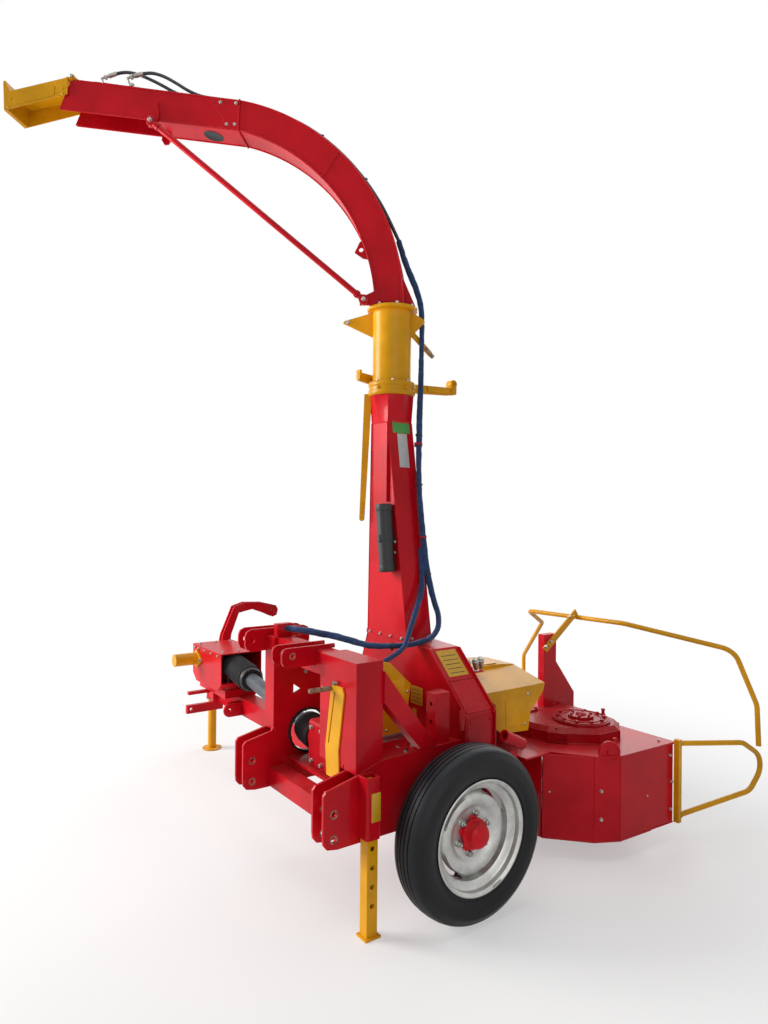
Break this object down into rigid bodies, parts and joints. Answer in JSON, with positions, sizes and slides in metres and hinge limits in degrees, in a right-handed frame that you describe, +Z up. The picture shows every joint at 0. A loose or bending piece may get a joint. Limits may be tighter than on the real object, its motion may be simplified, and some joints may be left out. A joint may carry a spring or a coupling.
{
  "type": "mounted forage harvester",
  "caption": "Tractor-mounted forage harvester with flywheel chopper, two-rotor header, tall swinging discharge spout, side drive unit and one gauge wheel.",
  "frame": {"origin": "centre of the footprint at ground level", "axes": "+X from the tractor hitch towards the header, +Y towards the lateral drive unit, +Z up"},
  "size_m": [3.1112, 2.7737, 3.8117],
  "materials": {
    "red_paint": "gloss",
    "yellow_paint": "gloss",
    "tyre_rubber": "satin",
    "rim_silver": "satin",
    "machined_steel": "brushed",
    "black_plastic": "matte",
    "blue_sleeve": "woven",
    "black_hose": "satin"
  },
  "bodies": {
    "chassis": {"side_plates": "red_paint", "headstock_columns": "red_paint", "cross_beams": "red_paint", "top_link_clevis": "red_paint", "column_brace": "red_paint", "side_lugs": "red_paint", "tie_strap": "yellow_paint", "stand_sockets": "red_paint", "bevel_gearbox": "red_paint", "shaft_bearings": "red_paint", "drive_guard_front": "yellow_paint", "chopper_housing": "red_paint", "flywheel": "machined_steel", "feed_throat": "red_paint", "discharge_tower": "red_paint", "tower_funnel": "red_paint", "turntable_ring": "yellow_paint", "document_tube": "black_plastic", "wheel_leg": "red_paint", "wheel_axle": "machined_steel", "header_back": "red_paint", "header_walls": "red_paint", "header_deck": "red_paint", "header_gearbox": "red_paint", "gearbox_covers": "red_paint", "skid_dishes": "machined_steel", "drive_guard_rear": "yellow_paint", "crop_loops": "yellow_paint", "crop_hoop": "yellow_paint", "guide_mast": "red_paint", "guide_clamp": "yellow_paint", "unit_housing": "red_paint", "unit_gearbox": "red_paint", "pto_cap": "yellow_paint", "cardan_shaft": "black_plastic", "cardan_guards": "black_plastic", "unit_beam": "red_paint", "unit_lower_brackets": "red_paint", "unit_mast": "red_paint", "sleeve_clips": "red_paint", "hose_sleeve_lower": "blue_sleeve"},
    "spout": {"turntable_tube": "yellow_paint", "spout_elbow": "red_paint", "spout_end": "red_paint", "spout_brackets": "red_paint", "spout_strut": "red_paint", "cylinder_cover": "red_paint", "hose_sleeve_upper": "blue_sleeve", "hose_lines": "black_hose", "hose_unions": "machined_steel"},
    "deflector": {"deflector": "yellow_paint"},
    "wheel": {"tyre": "tyre_rubber", "rim": "rim_silver", "wheel_hub": "red_paint"},
    "near_stand": {"stand_leg_near": "yellow_paint"},
    "far_stand": {"stand_leg_far": "yellow_paint"},
    "near_rotor": {"rotor_near": "red_paint"},
    "far_rotor": {"rotor_far": "red_paint"},
    "near_feed_roller": {"feed_roller_near": "red_paint"},
    "far_feed_roller": {"feed_roller_far": "red_paint"}
  },
  "joints": [
    {"name": "wheel_spin", "type": "hinge", "parent": "chassis", "child": "wheel", "pos_m": [-0.18282, -1.12713, 0.334], "axis": [0, 1, 0], "continuous": true},
    {"name": "spout_swing", "type": "hinge", "parent": "chassis", "child": "spout", "pos_m": [-0.01082, -0.35013, 2.17], "axis": [0, 0, 1], "range_deg": [-100, 100]},
    {"name": "deflector_tilt", "type": "hinge", "parent": "spout", "child": "deflector", "pos_m": [-1.22215, 0.74055, 3.757], "axis": [-0.6691, -0.7431, 0], "range_deg": [-50, 0]},
    {"name": "near_stand_slide", "type": "slide", "parent": "chassis", "child": "near_stand", "axis": [0, 0, 1], "range_m": [0, 0.28]},
    {"name": "far_stand_slide", "type": "slide", "parent": "chassis", "child": "far_stand", "axis": [0, 0, 1], "range_m": [0, 0.28]},
    {"name": "near_rotor_spin", "type": "hinge", "parent": "chassis", "child": "near_rotor", "pos_m": [0.79618, -0.86513, 0.3], "axis": [0, 0, 1], "continuous": true},
    {"name": "far_rotor_spin", "type": "hinge", "parent": "chassis", "child": "far_rotor", "pos_m": [0.79618, -0.30113, 0.3], "axis": [0, 0, 1], "continuous": true},
    {"name": "near_roller_spin", "type": "hinge", "parent": "chassis", "child": "near_feed_roller", "pos_m": [0.33618, -0.65913, 0.3], "axis": [0, 0, 1], "continuous": true},
    {"name": "far_roller_spin", "type": "hinge", "parent": "chassis", "child": "far_feed_roller", "pos_m": [0.33618, -0.50713, 0.3], "axis": [0, 0, 1], "continuous": true}
  ],
  "couplings": [
    {"joint": "far_rotor_spin", "follows": "near_rotor_spin", "ratio": -1},
    {"joint": "near_roller_spin", "follows": "near_rotor_spin", "ratio": 2},
    {"joint": "far_roller_spin", "follows": "near_rotor_spin", "ratio": -2}
  ]
}
